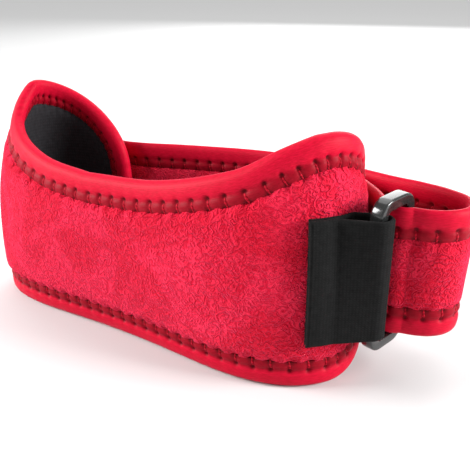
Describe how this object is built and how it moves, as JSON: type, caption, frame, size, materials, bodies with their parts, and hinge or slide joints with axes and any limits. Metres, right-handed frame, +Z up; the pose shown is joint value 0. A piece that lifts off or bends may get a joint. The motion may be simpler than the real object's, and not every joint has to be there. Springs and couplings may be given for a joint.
{
  "type": "patella strap",
  "caption": "Below-knee strap with a tall padded two-lobed front, a narrow strap through a rectangular ring and a webbing tab.",
  "frame": {"origin": "centre of the bounding box in plan, on the floor that the pad's lower edge stands on", "axes": "+Z up from the lower edge to the lobes, the pad's front looks towards -Y, the ring is at the +X end"},
  "size_m": [0.1786, 0.074, 0.0788],
  "materials": {
    "plush": "short red loop pile laminated to foam",
    "tape": "smooth red knit binding tape",
    "lining": "black knit lining",
    "webbing": "black woven webbing",
    "ring_plastic": "glossy black moulded plastic",
    "hook": "black hook tape"
  },
  "bodies": {
    "root": {"pad_body": "plush", "pad_lining": "lining", "pad_binding": "tape", "strap_body": "plush", "strap_binding": "tape", "ring_tab": "webbing", "ring": "ring_plastic", "hook_patch": "hook"}
  },
  "joints": []
}
